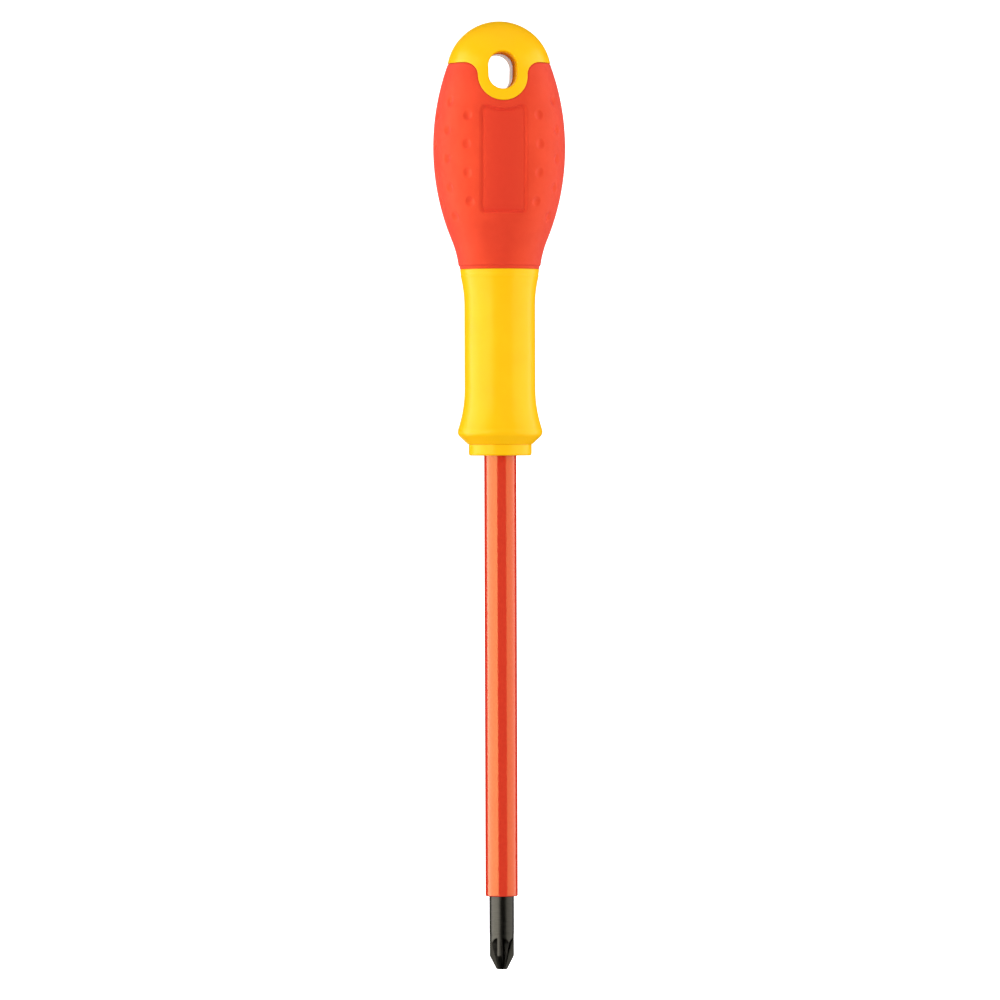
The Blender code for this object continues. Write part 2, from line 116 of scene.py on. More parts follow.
NECK_RADIUS = 8.63 * MM
NECK_BLEND_RADIUS = 30.0 * MM
FLARE_BLEND_RADIUS = 31.0 * MM
FLARE_RIM = 1.7 * MM
FLARE_RIM_TOP = 16.0
FLARE_ANGLE = 47.2
FLARE_SLOPE = math.tan(math.radians(FLARE_ANGLE))
FLARE_BLEND_LOW = 131.7 * MM
NECK_LOW = 141.3 * MM
NECK_HIGH = 161.4 * MM
FLARE_RADIUS = 10.33 * MM
FLARE_HEIGHT = 130.8 * MM
LAND_RADIUS = 9.62 * MM
LAND_LOW = 168.5 * MM
LAND_GROOVE = 169.1 * MM
LAND_GROOVE_DEPTH = 0.15 * MM
LAND_GROOVE_HEIGHT = 0.15 * MM
LAND_EDGE = 0.12 * MM
LAND_INNER = 1.2 * MM

COLLAR_RADIUS = 7.69 * MM
COLLAR_HEIGHT = 2.7 * MM
COLLAR_TOP = COLLAR_FACE + COLLAR_HEIGHT
COLLAR_TOP_EDGE = 0.08 * MM
COLLAR_FOOT_EDGE = 0.45 * MM
COLLAR_LEAD_IN = 0.15 * MM
COLLAR_SEAT_RADIUS = 6.2 * MM
CORE_STEM_RADIUS = 6.3 * MM
CORE_HEAD_RADIUS = 8.0 * MM
CORE_TAPER_LOW = 172.0 * MM
CORE_TAPER_HIGH = 180.0 * MM
CORE_END_WALL = 1.0 * MM
BORE_HEAD_RADIUS = 8.1 * MM
BORE_TAPER_LOW = 171.5 * MM
BORE_TAPER_HIGH = 179.8 * MM

BAR_RADIUS = 3.0 * MM
FINE_ROWS_END = 24.0 * MM
SLEEVE_RADIUS = 3.93 * MM
SLEEVE_EDGE = 0.3 * MM

TIP_RADIUS = 2.95 * MM
TIP_RELIEF_TOP = 9.0 * MM
TIP_END_RADIUS = 1.27 * MM
TIP_CORNER = 0.22 * MM
TIP_CONE_SLOPE = math.tan(math.radians(27.0))
TIP_TURN = math.radians(-14.0)
TIP_WING_HALF = 0.6 * MM
TIP_BLEND = 0.12 * MM
TIP_RELIEF_LENGTH = 0.6 * MM
TIP_FLUTES_END = 9.4 * MM
# height and radius, in mm, of the rib's crest and of the flute's floor, which run out past the bar
RIB_CREST = ((0.0, 1.10), (6.6, 3.0), (7.3, 3.5), (7.9, 4.4), (8.6, 5.6), (9.4, 7.2))
FLUTE_FLOOR = (
    (0.0, 0.70), (4.6, 1.62), (5.8, 1.92), (6.6, 2.2),
    (7.2, 2.5), (7.6, 2.78), (7.85, 3.1), (8.4, 4.4),
)

# ---- how finely the pieces are made ----
RING_STEPS = 46
FILLET_STEPS = 24
SIDE_STEPS = 34
QUADRANT = RING_STEPS + FILLET_STEPS + SIDE_STEPS

HAIRLINE = 0.03 * MM
SAME_POINT = 0.0001 * MM
SHELL_LIP = 0.12 * MM
GRIP_LIP = 0.3 * MM
SEAM_MARGIN = 0.5 * MM
GRIP_THICKNESS = 1.5 * MM
SEAT_GAP = 0.2 * MM
GRIP_LEVEL_RING = 205.0 * MM
HEAD_LEVEL_RING = 225.2 * MM
GRIP_BLEND_STEPS = 46
GRIP_LOWER_STEPS = 146
INNER_STEPS = 7
HEAD_BLEND_STEPS = 64
CROWN_STEPS = 40
EYELET_BLOCK_COLUMNS = 40
EYELET_BLOCK_ROW = 7
EYELET_FACE_STEPS = 6
EYELET_EDGE_STEPS = 12
EYELET_WALL_STEPS = 24
CORE_COLUMNS = 192
SLEEVE_COLUMNS = 128
SLEEVE_ROWS = 40
WING_STEPS = 5
FLANK_STEPS = 4
FLOOR_STEPS = 9
TIP_ROWS = 84
FINE_BAR_ROWS = 10
COARSE_BAR_ROWS = 12


# ---- mesh building ----
class Skin:
    """Rings of points joined by quads, kept as one mesh."""

    def __init__(self):
        self.points = []
        self.faces = []

    def ring(self, points):
        first = len(self.points)
        self.points.extend(map(tuple, points))
        return list(range(first, len(self.points)))

    def join(self, a, b, skip=()):
        count = len(a)
        for j in range(count):
            if j not in skip:
                after = (j + 1) % count
                self.faces.append((a[j], a[after], b[after], b[j]))

    def stack(self, rings):
        made = [self.ring(points) for points in rings]
        for a, b in zip(made, made[1:]):
            self.join(a, b)
        return made

    def fan(self, ring, point):
        tip = self.ring([point])[0]
        count = len(ring)
        self.faces.extend((ring[j], ring[(j + 1) % count], tip) for j in range(count))

    def make(self, name, material, sharp_angle=40.0):
        mesh = bpy.data.meshes.new(name)
        mesh.from_pydata(self.points, [], self.faces)
        form = bmesh.new()
        form.from_mesh(mesh)
        loose = [point for point in form.verts if not point.link_faces]
        bmesh.ops.delete(form, geom=loose, context="VERTS")
        bmesh.ops.remove_doubles(form, verts=form.verts, dist=SAME_POINT)
        bmesh.ops.recalc_face_normals(form, faces=form.faces)
        form.to_mesh(mesh)
        form.free()
        mesh.materials.append(material)
        mesh.shade_smooth()
        mesh.set_sharp_from_angle(angle=math.radians(sharp_angle))
        item = bpy.data.objects.new(name, mesh)
        bpy.context.scene.collection.objects.link(item)
        return item


def points_of(item):
    """Points of a mesh as an array."""
    flat = np.empty(3 * len(item.data.vertices), dtype=np.float32)
    item.data.vertices.foreach_get("co", flat)
    return flat.reshape(-1, 3).astype(float)


def add_value(item, name, values):
    """Keep a value for each point of a mesh, which its material reads."""
    attribute = item.data.attributes.new(name, "FLOAT", "POINT")
    attribute.data.foreach_set("value", values)


def around(theta, radius, height):
    """Points at angle theta from the front, turning towards +X, as an array."""
    theta, radius, height = np.broadcast_arrays(theta, radius, height)
    return np.stack([radius * np.sin(theta), -radius * np.cos(theta), height], axis=-1)


def full_turn(count):
    return np.arange(count) * 2 * math.pi / count


def turned_rings(profile, count):
    theta = full_turn(count)
    return [around(theta, radius, height) for radius, height in profile]


def arc(centre, radius, start, end, steps):
    """Points on an arc in the (radius, height) plane, both ends included; angles in degrees."""
    angles = np.radians(np.linspace(start, end, steps + 1))
    return [(centre[0] + radius * math.cos(a), centre[1] + radius * math.sin(a)) for a in angles]


def concave_side(blend, first, last, level, steps):
    """Hollow blend of the neck between two heights, upright where it meets the neck at level."""
    points = []
    for height in np.linspace(first, last, steps + 1):
        reach = math.sqrt(blend ** 2 - (height - level) ** 2)
        points.append((NECK_RADIUS + blend - reach, float(height)))
    return points


def smooth_max(a, b, width):
    share = np.clip(0.5 + 0.5 * (a - b) / width, 0.0, 1.0)
    return b + (a - b) * share + width * share * (1.0 - share)


def ease(value):
    value = np.clip(value, 0.0, 1.0)
    return value * value * (3.0 - 2.0 * value)


# ---- outline of the handle ----
def bulge(height):
    return BULGE_RADIUS - BULGE_ARC + np.sqrt(BULGE_ARC ** 2 - (height - BULGE_HEIGHT) ** 2)


def grip_outline(height):
    """Radius of the grip: the bulge, then a hollow blend down to its lower end."""
    height = np.asarray(height, dtype=float)
    angle = math.asin((BULGE_HEIGHT - GRIP_BLEND_TOP) / BULGE_ARC)
    span = BULGE_ARC + GRIP_BLEND_ARC
    blend_x = BULGE_RADIUS - BULGE_ARC + span * math.cos(angle)
    blend_z = BULGE_HEIGHT - span * math.sin(angle)
    below = np.minimum(height, GRIP_BLEND_TOP)
    hollow = blend_x - np.sqrt(GRIP_BLEND_ARC ** 2 - (below - blend_z) ** 2)
    return np.where(height < GRIP_BLEND_TOP, hollow, bulge(np.maximum(height, GRIP_BLEND_TOP)))


def head_outline(height):
    """Radius of the head: the bulge in the ring below, the dome above."""
    height = np.asarray(height, dtype=float)
    rise = np.clip((height - DOME_EQUATOR) / DOME_RADIUS, 0.0, 1.0)
    dome = DOME_RADIUS * np.sqrt(1.0 - rise ** 2)
    whole = smooth_max(dome, bulge(height), HEAD_SEAM_BLEND)
    return np.where(height > SEAM_HEIGHT + DOME_ALONE, dome, whole)


# ---- the seam between head and grip ----
def quadrant_to_turn(values, angle=False):
    """A value for each column from the front's middle round to the side, repeated all the way round."""
    back = values[::-1]
    if angle:
        parts = [values[:-1], math.pi - back[:-1], math.pi + values[:-1], 2 * math.pi - back[:-1]]
    else:
        parts = [values[:-1], back[:-1], values[:-1], back[:-1]]
    return np.concatenate(parts)


def seam():
    """Angle and height of the seam for each column, with the direction across it into the grip."""
    ring = np.radians(np.linspace(-90.0, 0.0, RING_STEPS + 1))
    fillet = np.radians(np.linspace(180.0, 90.0, FILLET_STEPS + 1))[1:]
    fillet_x = RING_RADIUS + SHOULDER_FILLET + SHOULDER_FILLET * np.cos(fillet)
    fillet_z = SEAM_HEIGHT - SHOULDER_FILLET + SHOULDER_FILLET * np.sin(fillet)
    x = np.concatenate([RING_RADIUS * np.cos(ring), fillet_x])
    z = np.concatenate([RING_CENTRE + RING_RADIUS * np.sin(ring), fillet_z])
    across_x = np.concatenate([np.cos(ring), -np.cos(fillet)])
    across_z = np.concatenate([np.sin(ring), -np.sin(fillet)])
    theta = np.arcsin(x / bulge(z))
    side = np.linspace(theta[-1], math.pi / 2, SIDE_STEPS + 1)[1:]
    theta = np.concatenate([theta, side])
    z = np.concatenate([z, np.full(SIDE_STEPS, SEAM_HEIGHT)])
    across_x = np.concatenate([across_x, np.zeros(SIDE_STEPS)])
    across_z = np.concatenate([across_z, np.full(SIDE_STEPS, -1.0)])
    length = np.concatenate([[0.0], np.cumsum(np.hypot(np.diff(theta * bulge(z)), np.diff(z)))])
    return theta, z, across_x, across_z, length / length[-1]


SEAM_THETA, SEAM_Z, SEAM_ACROSS_X, SEAM_ACROSS_Z, SEAM_SHARE = seam()


def from_seam(distance):
    """Angle and height of each column's point at a distance across the seam; plus is into the grip."""
    theta = SEAM_THETA + distance * SEAM_ACROSS_X / bulge(SEAM_Z)
    height = SEAM_Z + distance * SEAM_ACROSS_Z
    return theta, height


def seam_ring(outline, distance, inset):
    theta, height = from_seam(distance)
    radius = outline(height) - inset
    return around(quadrant_to_turn(theta, angle=True), quadrant_to_turn(radius), quadrant_to_turn(height))


def lip_rings(outline, side, lip):
    """Rings over the rounded edge beside the seam, from its wall to its surface."""
    rings = []
    for angle in np.radians(np.linspace(0.0, 90.0, 6)):
        distance = side * (HAIRLINE + lip * (1.0 - math.cos(angle)))
        rings.append(seam_ring(outline, distance, lip * (1.0 - math.sin(angle))))
    return rings


def blended_rings(outline, shape, distance, target_theta, target_height, steps):
    """Rings from beside the seam to a level ring at target_height."""
    near_theta, near_height = from_seam(distance)
    rings = []
    for share in np.linspace(0.0, 1.0, steps + 1):
        theta = near_theta + (target_theta - near_theta) * share
        height = near_height + (target_height - near_height) * share
        whole_theta = quadrant_to_turn(theta, angle=True)
        whole_height = quadrant_to_turn(height)
        rings.append(shape(whole_theta, whole_height, outline))
    return rings


def plain_shape(theta, height, outline):
    return around(theta, outline(height), height)


# ---- grip ----
def inside_both(first, second, corner):
    """Distance to the area that two outlines share, with its corner rounded; minus inside it."""
    outside = np.hypot(np.maximum(first + corner, 0.0), np.maximum(second + corner, 0.0))
    inside = np.minimum(np.maximum(first, second) + corner, 0.0)
    return outside + inside - corner


def panel_distance(x, height):
    """Distance to the recessed panel's outline, minus inside it."""
    lower = inside_both(np.abs(x) - PANEL_HALF_WIDTH, PANEL_LOW - height, PANEL_CORNER)
    ring = PANEL_TOP_ARC - np.hypot(x, height - RING_CENTRE)
    return inside_both(lower, ring, PANEL_HORN)


def panel_share(x, height):
    """0 outside the panel, 1 on its floor."""
    share = ease(-panel_distance(x, height) / PANEL_BEVEL)
    return np.where(height > RING_CENTRE - PANEL_CLEARANCE, 0.0, share)


def panel_recess(x, height):
    """Depth of the panel's floor, with a fine groove at the foot of its bevel."""
    share = panel_share(x, height)
    from_groove = (panel_distance(x, height) + PANEL_GROOVE_PLACE) / PANEL_GROOVE_WIDTH
    return share * (PANEL_DEPTH + PANEL_GROOVE_DEPTH * np.exp(-from_groove ** 2))


def dimple_places():
    """Angle and height of each dimple, in columns of four and five in turn down both sides."""
    for column in range(DIMPLE_COLUMNS_PER_SIDE):
        azimuth = DIMPLE_COLUMN_STEP * (DIMPLE_FIRST_COLUMN + column)
        count = DIMPLES_IN_SHORT_COLUMN + column % 2
        for row in range(count):
            height = DIMPLE_MIDDLE + DIMPLE_PITCH * (row - (count - 1) / 2)
            yield azimuth, height
            yield 2 * math.pi - azimuth, height


def grip_shape(theta, height, outline):
    """Outer surface of the grip with its panel and dimples pressed in."""
    radius = outline(height)
    x = radius * np.sin(theta)
    recess = panel_recess(x, height)
    for azimuth, level in dimple_places():
        turn = (theta - azimuth + math.pi) % (2 * math.pi) - math.pi
        distance = np.hypot(radius * turn, height - level)
        hollow = 1.0 - np.minimum(distance / DIMPLE_RADIUS, 1.0) ** 2
        recess = recess + DIMPLE_DEPTH * hollow ** DIMPLE_ROUNDNESS
    return around(theta, radius - recess, height)


def grip_rim():
    """(radius, height) down the small step inward at the grip's foot and its thin last rim."""
    step_radius = float(grip_outline(GRIP_STEP_HIGH))
    corner = GRIP_RIM_EDGE
    rim_end = GRIP_RIM_RADIUS - GRIP_RIM_TAPER
    points = arc((step_radius - corner, GRIP_STEP_HIGH), corner, -20.0, -75.0, 3)
    points.append((GRIP_RIM_RADIUS + 0.03 * MM, GRIP_STEP_LOW + 0.04 * MM))
    points.append((GRIP_RIM_RADIUS, GRIP_STEP_LOW))
    points.append((rim_end, GRIP_END + corner))
    points += arc((rim_end - corner, GRIP_END + corner), corner, -30.0, -90.0, 3)
    return points


def make_grip(material):
    skin = Skin()
    even_theta = SEAM_SHARE * math.pi / 2
    whole_theta = quadrant_to_turn(even_theta, angle=True)
    level = GRIP_LEVEL_RING
    rings = [seam_ring(grip_outline, HAIRLINE, GRIP_THICKNESS)]
    rings += lip_rings(grip_outline, 1, GRIP_LIP)
    rings += blended_rings(grip_outline, grip_shape, SEAM_MARGIN, even_theta, level, GRIP_BLEND_STEPS)
    for height in np.linspace(level, GRIP_STEP_HIGH, GRIP_LOWER_STEPS)[1:]:
        rings.append(grip_shape(whole_theta, np.full(whole_theta.shape, height), grip_outline))
    rings += [around(whole_theta, radius, height) for radius, height in grip_rim()]
    rings.append(around(whole_theta, GRIP_RIM_RADIUS - GRIP_FOOT_WALL, GRIP_END))
    for height in np.linspace(GRIP_END, level, INNER_STEPS)[1:]:
        rings.append(around(whole_theta, float(grip_outline(height)) - GRIP_THICKNESS, height))
    made = skin.stack(rings)
    skin.join(made[-1], made[0])
    item = skin.make("soft_grip", material)
    points = points_of(item)
    # the value kept here marks the panel's floor: a finer grain there (real), and a slightly darker base
    # colour that is painted shade of the recess
    add_value(item, "smooth_panel_painted_shade", panel_share(points[:, 0], points[:, 2]))
    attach(item, "root")
    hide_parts("grip")
    return item


# ---- shell: head, neck and flare ----
def stadium_at(angle, radius):
    """Point of the eyelet's outline, grown to a radius, in the direction angle from its middle."""
    c, s = np.cos(angle), np.sin(angle)
    side = radius / np.maximum(np.abs(c), 1e-9)
    on_side = np.abs(side * s) <= EYELET_HALF_STRAIGHT
    offset = EYELET_HALF_STRAIGHT * np.abs(s)
    round_end = offset + np.sqrt(np.maximum(radius ** 2 - EYELET_HALF_STRAIGHT ** 2 + offset ** 2, 0.0))
    reach = np.where(on_side, side, round_end)
    return reach * c, EYELET_MIDDLE + reach * s


def front_points(x, height, side, sink):
    """Points on the head's surface, front (side -1) or back (side 1), sunk along Y."""
    depth = np.sqrt(head_outline(height) ** 2 - x ** 2) - sink
    return np.stack([x, side * depth, height], axis=-1)


def eyelet_rings(skin, border, side):
    """Rings from the border of a cut-out block of the head to the eyelet's wall."""
    corners = np.array([skin.points[index] for index in border])
    angle = np.arctan2(corners[:, 2] - EYELET_MIDDLE, corners[:, 0])
    outer_x, outer_z = stadium_at(angle, EYELET_RADIUS + EYELET_EDGE)
    rings = [border]
    for share in np.linspace(0.0, 1.0, EYELET_FACE_STEPS + 1)[1:]:
        x = corners[:, 0] + (outer_x - corners[:, 0]) * share
        z = corners[:, 2] + (outer_z - corners[:, 2]) * share
        rings.append(skin.ring(front_points(x, z, side, 0.0)))
    for turn in np.radians(np.linspace(0.0, 90.0, EYELET_EDGE_STEPS + 1)[1:]):
        x, z = stadium_at(angle, EYELET_RADIUS + EYELET_EDGE * (1.0 - math.sin(turn)))
        rings.append(skin.ring(front_points(x, z, side, EYELET_EDGE_DEPTH * (1.0 - math.cos(turn)))))
    for a, b in zip(rings, rings[1:]):
        skin.join(a, b)
    return rings[-1]


def block_border(rows, columns, low, high):
    """Indices round a block of the head's grid: up its right side, over, down and back."""
    right = [rows[i][columns] for i in range(low, high)]
    over = [rows[high][j] for j in range(columns, -columns, -1)]
    left = [rows[i][-columns] for i in range(high, low, -1)]
    under = [rows[low][j] for j in range(-columns, columns)]
    return right + over + left + under


def make_shell(material):
    skin = Skin()
    # head: grid from the seam up to the crown, with a block left out for the eyelet at each face
    upper_level = HEAD_LEVEL_RING
    columns = EYELET_BLOCK_COLUMNS
    shares = [0.0, RING_STEPS / QUADRANT, (RING_STEPS + FILLET_STEPS) / QUADRANT, 1.0]
    angles = np.radians([0.0, 27.0, 43.0, 90.0])
    target_theta = np.interp(np.arange(QUADRANT + 1) / QUADRANT, shares, angles)
    rings = lip_rings(head_outline, -1, SHELL_LIP)
    steps = HEAD_BLEND_STEPS
    rings += blended_rings(head_outline, plain_shape, -SEAM_MARGIN, target_theta, upper_level, steps)
    low_row = EYELET_BLOCK_ROW + len(rings) - steps
    high_row = len(rings) - 2
    whole_theta = quadrant_to_turn(target_theta, angle=True)
    rise = (upper_level - DOME_EQUATOR) / (TOP - DOME_EQUATOR)
    for share in np.linspace(math.asin(rise), math.pi / 2, CROWN_STEPS)[1:-1]:
        height = DOME_EQUATOR + (TOP - DOME_EQUATOR) * math.sin(share)
        rings.append(around(whole_theta, float(head_outline(height)), height))
    rows = [skin.ring(points) for points in rings]
    front = set(range(columns)) | set(range(4 * QUADRANT - columns, 4 * QUADRANT))
    back = set(range(2 * QUADRANT - columns, 2 * QUADRANT + columns))
    for index, (a, b) in enumerate(zip(rows, rows[1:])):
        inside = low_row <= index < high_row
        skin.join(a, b, skip=front | back if inside else ())
    skin.fan(rows[-1], (0.0, 0.0, TOP))
    turned_rows = [row[2 * QUADRANT:] + row[:2 * QUADRANT] for row in rows]
    front_edge = eyelet_rings(skin, block_border(rows, columns, low_row, high_row), -1)
    back_border = block_border(turned_rows, columns, low_row, high_row)
    back_edge = eyelet_rings(skin, back_border, 1)
    join_eyelet(skin, front_edge, back_edge)
    # seat under the grip, then land, neck, flare and the bore for the core
    seat = seam_ring(head_outline, -HAIRLINE, GRIP_THICKNESS + SEAT_GAP)
    even_theta = quadrant_to_turn(SEAM_SHARE * math.pi / 2, angle=True)
    lower = [seat]
    for height in np.linspace(GRIP_LEVEL_RING, GRIP_END, INNER_STEPS):
        radius = float(grip_outline(height)) - GRIP_THICKNESS - SEAT_GAP
        lower.append(around(even_theta, radius, height))
    lower += [around(even_theta, radius, height) for radius, height in neck_profile()]
    lower_rows = [skin.ring(points) for points in lower]
    skin.join(rows[0], lower_rows[0])
    for a, b in zip(lower_rows, lower_rows[1:]):
        skin.join(a, b)
    skin.fan(lower_rows[-1], (0.0, 0.0, CORE_HIGH.z + 0.1 * MM))
    item = skin.make("handle_body", material)
    add_value(item, "added_roughness", eyelet_finish(points_of(item)))
    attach(item, "root")
    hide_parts("handle_shell")
    return item


def eyelet_finish(points):
    """Roughness added on the eyelet's wall: its front half is textured, its back half polished."""
    x, y, z = points.T
    margin = 0.1 * MM
    reach = EYELET_HALF_STRAIGHT + EYELET_RADIUS + margin
    wall = (np.abs(x) < EYELET_RADIUS + margin) & (np.abs(z - EYELET_MIDDLE) < reach)
    wall = wall & (np.abs(y) < EYELET_WALL_REACH)
    return np.where(wall, np.where(y > margin, POLISHED, TEXTURED), 0.0)


def join_eyelet(skin, front_edge, back_edge):
    """The wall through the head; the back's edge is the front's, turned half round, so it is matched."""
    front = np.array([skin.points[index] for index in front_edge])
    back = np.array([skin.points[index] for index in back_edge])
    order = [int(np.argmin(np.hypot(back[:, 0] - p[0], back[:, 2] - p[2]))) for p in front]
    matched = [back_edge[index] for index in order]
    angle = np.arctan2(front[:, 2] - EYELET_MIDDLE, front[:, 0])
    previous = front_edge
    for share in np.linspace(0.0, 1.0, EYELET_WALL_STEPS + 1)[1:-1]:
        points = front + (back[order] - front) * share
        waist = EYELET_WAIST * (1.0 - abs(2.0 * share - 1.0))
        points[:, 0], points[:, 2] = stadium_at(angle, EYELET_RADIUS - waist)
        ring = skin.ring(points)
        skin.join(previous, ring)
        previous = ring
    skin.join(previous, matched)


def neck_profile():
    """(radius, height) from the land at the grip's foot down to the flare, then up the bore."""
    land_top = GRIP_END - HAIRLINE
    edge = LAND_EDGE
    profile = [(LAND_RADIUS - LAND_INNER, land_top), (LAND_RADIUS - edge, land_top)]
    profile += arc((LAND_RADIUS - edge, land_top - edge), edge, 90.0, 0.0, 3)[1:]
    land = concave_side(NECK_BLEND_RADIUS, LAND_LOW, NECK_HIGH, NECK_HIGH, 22)
    groove = LAND_RADIUS - LAND_GROOVE_DEPTH
    profile.append((LAND_RADIUS, land_top - 0.3 * MM))
    profile.append((groove, LAND_GROOVE))
    profile.append((groove, LAND_GROOVE - LAND_GROOVE_HEIGHT))
    profile.append((land[0][0] + 0.07 * MM, LAND_LOW + 0.2 * MM))
    profile += land
    profile += [(NECK_RADIUS, height) for height in np.linspace(NECK_HIGH, NECK_LOW, 12)[1:-1]]
    profile += concave_side(FLARE_BLEND_RADIUS, NECK_LOW, FLARE_BLEND_LOW, NECK_LOW, 26)
    rim_middle = (FLARE_RADIUS - FLARE_RIM, FLARE_HEIGHT)
    profile += arc(rim_middle, FLARE_RIM, FLARE_RIM_TOP, -FLARE_ANGLE, 14)
    foot = COLLAR_TOP + HAIRLINE
    rim_end = profile[-1]
    profile.append((rim_end[0] - (rim_end[1] - foot) * FLARE_SLOPE, foot))
    bore = CORE_STEM_RADIUS + 0.1 * MM
    profile.append((bore, COLLAR_TOP + 0.04 * MM))
    profile.append((bore, BORE_TAPER_LOW))
    profile.append((BORE_HEAD_RADIUS, BORE_TAPER_HIGH))
    profile.append((BORE_HEAD_RADIUS, CORE_HIGH.z + 0.1 * MM))
    return profile


# ---- core with the collar ----
def make_core(material):
    skin = Skin()
    top = CORE_HIGH.z
    # stem, from its top down to the collar
    profile = [(CORE_HEAD_RADIUS, top), (CORE_HEAD_RADIUS, CORE_TAPER_HIGH)]
    profile.append((CORE_STEM_RADIUS, CORE_TAPER_LOW))
    profile.append((CORE_STEM_RADIUS, COLLAR_TOP))
    # collar, a hair slimmer at its foot
    edge = COLLAR_TOP_EDGE
    profile.append((COLLAR_RADIUS - edge, COLLAR_TOP))
    profile += arc((COLLAR_RADIUS - edge, COLLAR_TOP - edge), edge, 90.0, 0.0, 2)[1:]
    edge = COLLAR_FOOT_EDGE
    for height in np.linspace(COLLAR_TOP - 0.5 * MM, COLLAR_FACE + edge + 0.2 * MM, 4):
        profile.append((COLLAR_RADIUS - 0.01 * MM, height))
    profile += arc((COLLAR_RADIUS - 0.05 * MM - edge, COLLAR_FACE + edge), edge, 0.0, -90.0, 7)
    # bore for the sleeve, then for the bar
    bore = SLEEVE_RADIUS + 0.04 * MM
    bar_bore = BAR_RADIUS + 0.04 * MM
    sleeve_end = SLEEVE_HIGH.z + 0.1 * MM
    profile.append((COLLAR_SEAT_RADIUS, COLLAR_FACE))
    profile.append((bore + COLLAR_LEAD_IN, COLLAR_FACE))
    profile.append((bore, COLLAR_FACE + COLLAR_LEAD_IN))
    profile += [(bore, sleeve_end), (bar_bore, sleeve_end), (bar_bore, top - CORE_END_WALL)]
    rows = skin.stack(turned_rings(profile, CORE_COLUMNS))
    skin.fan(rows[0], (0.0, 0.0, top))
    skin.fan(rows[-1], (0.0, 0.0, top - CORE_END_WALL))
    item = skin.make("collar_core", material)
    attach(item, "root")
    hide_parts("handle_core")
    return item


# ---- blade sleeve ----
def make_sleeve(material):
    skin = Skin()
    low, high = SLEEVE_LOW.z, SLEEVE_HIGH.z
    bore = BAR_RADIUS + 0.03 * MM
    profile = [(bore, high), (SLEEVE_RADIUS, high)]
    for height in np.linspace(high, low + SLEEVE_EDGE, SLEEVE_ROWS)[1:]:
        profile.append((SLEEVE_RADIUS, height))
    profile += arc((SLEEVE_RADIUS - SLEEVE_EDGE, low + SLEEVE_EDGE), SLEEVE_EDGE, 0.0, -90.0, 7)[1:]
    profile += [(bore + 0.08 * MM, low), (bore, low + 0.08 * MM)]
    rows = skin.stack(turned_rings(profile, SLEEVE_COLUMNS))
    skin.join(rows[-1], rows[0])
    item = skin.make("insulating_sleeve", material)
    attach(item, "root")
    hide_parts("blade_sleeve")
    return item


# ---- blade ----
def tip_radius(height):
    """Radius of the round blank at the tip: blunt end, corner, cone, shank."""
    cone = TIP_END_RADIUS + height * TIP_CONE_SLOPE
    radius = -smooth_max(-cone, -TIP_RADIUS, TIP_BLEND)
    corner = np.clip(height / TIP_CORNER, 0.0, 1.0)
    radius = radius - TIP_CORNER * (1.0 - np.sqrt(corner * (2.0 - corner)))
    relief = ease((height - TIP_RELIEF_TOP + TIP_RELIEF_LENGTH) / TIP_RELIEF_LENGTH)
    return radius + (BAR_RADIUS - TIP_RADIUS) * relief


def crest_and_floor(height):
    """Radii of the rib crest and of the flute floor where it meets the wing, both in metres."""
    level = height / MM
    crest = np.interp(level, *zip(*RIB_CREST))
    floor = np.interp(level, *zip(*FLUTE_FLOOR))
    return crest * MM, floor * MM


def octant_points(height):
    """Section from a wing's middle to the next rib's crest: outer face, flat flank, flute floor."""
    radius = float(tip_radius(height))
    crest, floor = crest_and_floor(height)
    wing = min(TIP_WING_HALF, 0.8 * radius)
    edge_angle = math.asin(wing / radius)
    face = np.linspace(0.0, edge_angle, WING_STEPS + 1)
    points = [(radius * math.cos(angle), radius * math.sin(angle)) for angle in face]
    # floor line from (floor, 0) to the crest at 45 degrees, cut at the wing's flank and by the blank
    crest_x = crest * math.cos(math.pi / 4)
    root_x = floor + (crest_x - floor) * (wing / crest_x)
    edge_x = radius * math.cos(edge_angle)
    root_x = min(root_x, edge_x)
    for share in np.linspace(0.0, 1.0, FLANK_STEPS + 1)[1:]:
        points.append((edge_x + (root_x - edge_x) * share, wing))
    for share in np.linspace(0.0, 1.0, FLOOR_STEPS + 1)[1:]:
        x = root_x + (crest_x - root_x) * share
        y = wing + (crest_x - wing) * share
        reach = math.hypot(x, y)
        scale = min(1.0, radius / reach)
        points.append((x * scale, y * scale))
    return points


def tip_section(height):
    """One ring round the blade: four wings with a rib between each pair."""
    octant = octant_points(height)
    mirrored = [(y, x) for x, y in reversed(octant[:-1])]
    quarter = octant + mirrored[:-1]
    section = []
    for turn in range(4):
        c, s = math.cos(TIP_TURN + turn * math.pi / 2), math.sin(TIP_TURN + turn * math.pi / 2)
        section += [(x * c - y * s, x * s + y * c, height) for x, y in quarter]
    return section


def make_blade(material):
    skin = Skin()
    heights = list(np.linspace(0.0, TIP_CORNER, 5))
    heights += list(np.linspace(TIP_CORNER, TIP_FLUTES_END, TIP_ROWS)[1:])
    heights += list(np.linspace(TIP_FLUTES_END, FINE_ROWS_END, FINE_BAR_ROWS)[1:])
    heights += list(np.linspace(FINE_ROWS_END, BLADE_HIGH.z, COARSE_BAR_ROWS)[1:])
    rows = skin.stack([tip_section(float(height)) for height in heights])
    skin.fan(rows[0], (0.0, 0.0, BLADE_LOW.z))
    skin.fan(rows[-1], (0.0, 0.0, BLADE_HIGH.z))
    item = skin.make("steel_blade", material, 30.0)
    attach(item, "root")
    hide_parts("blade")
    return item


